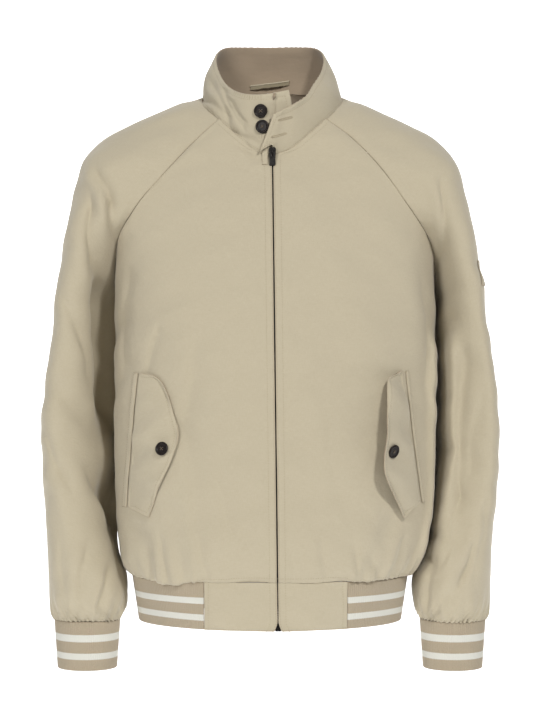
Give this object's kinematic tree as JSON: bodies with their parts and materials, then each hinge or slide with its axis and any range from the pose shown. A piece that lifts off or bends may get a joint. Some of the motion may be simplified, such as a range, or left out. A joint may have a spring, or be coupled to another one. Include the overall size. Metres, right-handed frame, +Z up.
{
  "type": "zip-up bomber jacket",
  "caption": "Hollow cotton bomber jacket with a buttoned stand collar, raglan sleeves, full front zip, slanted flap pockets and striped rib waist and cuffs.",
  "frame": {"origin": "middle of the neck opening, level with the points where the shoulders meet the collar", "axes": "+Z up along the wearer's neck, -Y to the front, +X to the wearer's left"},
  "size_m": [0.5766, 0.296, 0.8015],
  "materials": {
    "cotton": "matt khaki cotton drill",
    "rib_knit": "rib knit in taupe with off-white stripes",
    "button_horn": "dark brown, half gloss",
    "zip_metal": "dark gunmetal",
    "zip_tape": "woven tape"
  },
  "bodies": {
    "jacket": {"back": "cotton", "collar": "cotton", "collar_button_lower": "button_horn", "collar_button_upper": "button_horn", "cuff_left": "rib_knit", "cuff_right": "rib_knit", "flap_button_left": "button_horn", "flap_button_right": "button_horn", "front_left": "cotton", "front_right": "cotton", "hanger_loop": "cotton", "hem_panel_left": "cotton", "hem_panel_right": "cotton", "pocket_flap_left": "cotton", "pocket_flap_right": "cotton", "pocket_welt_left": "cotton", "pocket_welt_right": "cotton", "sleeve_back_left": "cotton", "sleeve_back_right": "cotton", "sleeve_front_left": "cotton", "sleeve_front_right": "cotton", "sleeve_patch": "cotton", "waist_rib": "rib_knit", "zip_box": "zip_metal", "zip_chain": "zip_metal", "zip_slider": "zip_metal", "zip_tape_left": "zip_tape", "zip_tape_right": "zip_tape"},
    "zip_pull": {"zip_pull": "zip_metal"}
  },
  "joints": [
    {"name": "zip_pull_swing", "type": "hinge", "parent": "jacket", "child": "zip_pull", "pos_m": [0.00297, -0.0994, -0.0775], "axis": [-1, 0, 0], "range_deg": [0, 115]}
  ]
}
